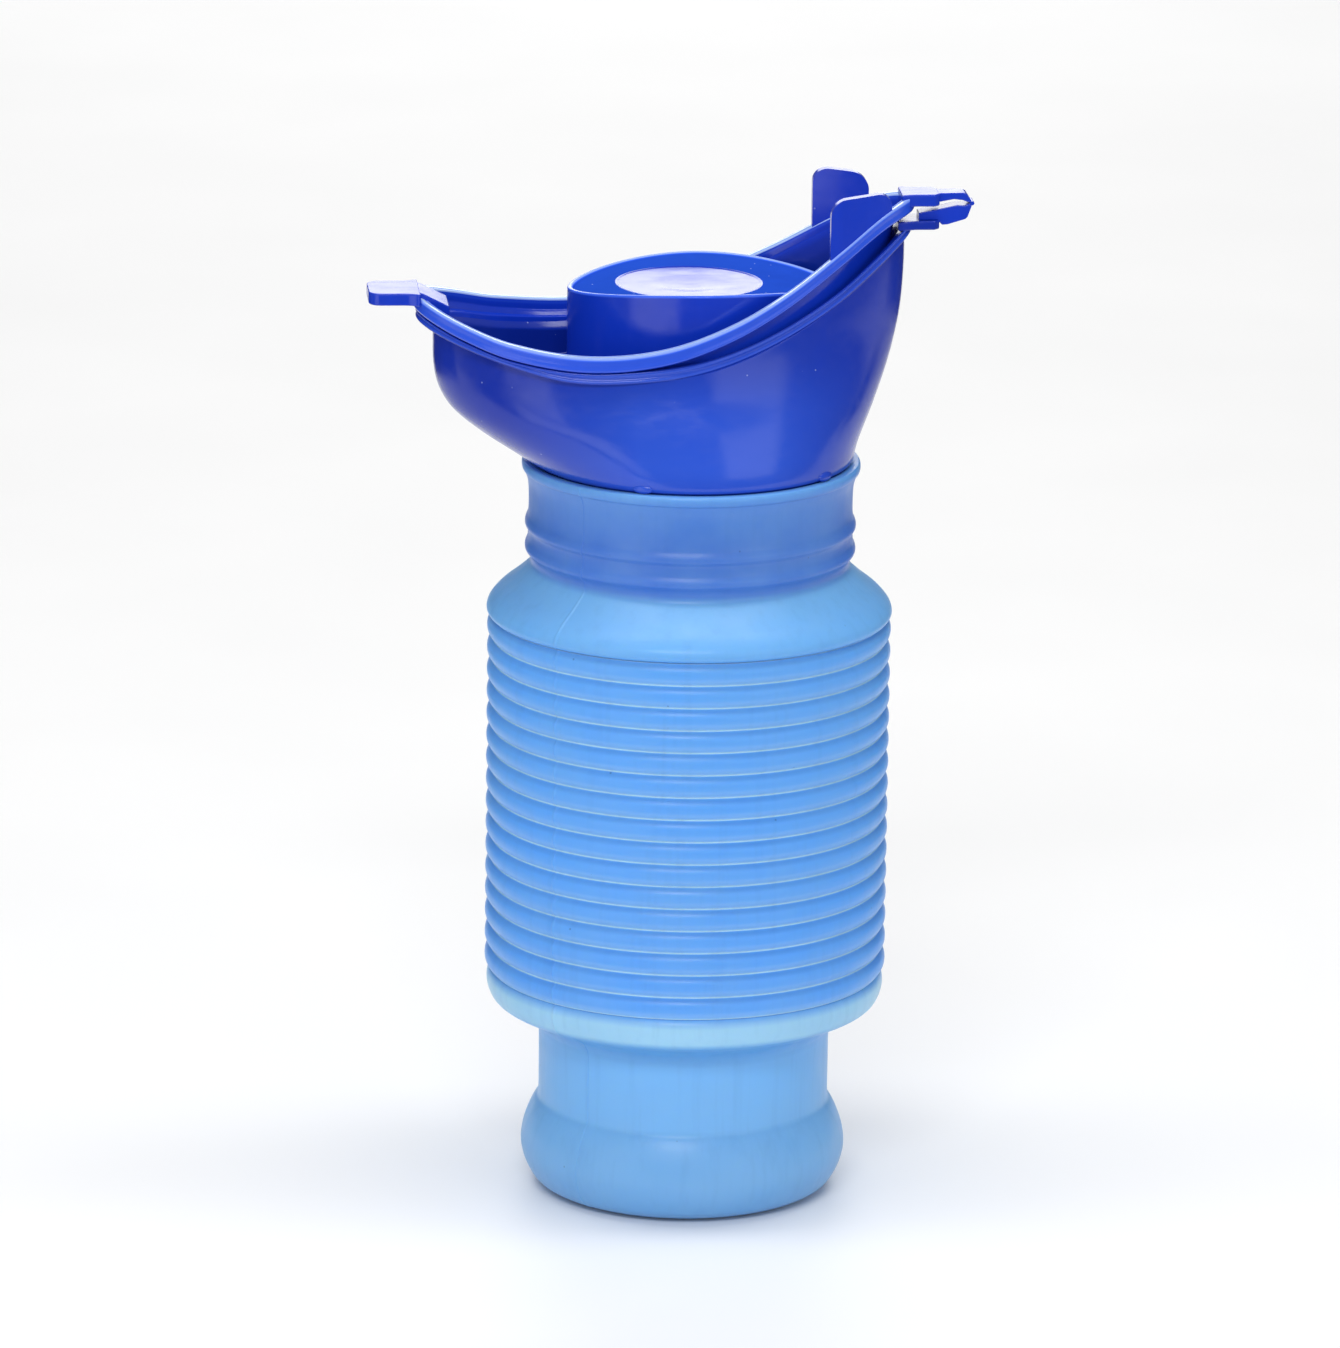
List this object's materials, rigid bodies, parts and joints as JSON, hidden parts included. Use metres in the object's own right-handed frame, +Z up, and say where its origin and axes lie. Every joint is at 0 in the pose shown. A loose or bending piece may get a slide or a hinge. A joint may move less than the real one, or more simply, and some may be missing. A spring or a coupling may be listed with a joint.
{
  "type": "collapsible urine bottle",
  "caption": "Handheld urine bottle with a bellows body that folds down, a boat-shaped plug-in funnel and a strap-hinged lid.",
  "frame": {"origin": "centre of the flat base, on the bottle's axis", "axes": "+Z up along the bottle's axis, +X towards the strap and hinge end of the lid, -X towards the thumb tab, +Y across the funnel"},
  "size_m": [0.1277, 0.0862, 0.2194],
  "materials": {
    "bottle_foot": "satin, translucent",
    "bellows": "satin, translucent",
    "bottle_collar": "satin, translucent",
    "funnel": "polished",
    "strap_lower_link": "polished",
    "strap_fold": "polished",
    "strap_upper_link": "polished",
    "lid_tray": "polished",
    "lid_drum": "polished"
  },
  "bodies": {
    "base": {"bottle_foot": "bottle_foot", "bellows": "bellows"},
    "collar": {"bottle_collar": "bottle_collar"},
    "funnel": {"funnel": "funnel", "strap_lower_link": "strap_lower_link", "strap_fold": "strap_fold"},
    "lid": {"lid_tray": "lid_tray", "lid_drum": "lid_drum", "strap_upper_link": "strap_upper_link"}
  },
  "joints": [
    {"name": "bellows_compress", "type": "slide", "parent": "base", "child": "collar", "axis": [0, 0, -1], "range_m": [0, 0.046], "deforming": ["bellows"]},
    {"name": "funnel_pull", "type": "slide", "parent": "collar", "child": "funnel", "axis": [0, 0, 1], "range_m": [0, 0.03]},
    {"name": "lid_hinge", "type": "hinge", "parent": "funnel", "child": "lid", "pos_m": [0.0585, 0, 0.2154], "axis": [0, 1, 0], "range_deg": [0, 150]}
  ]
}
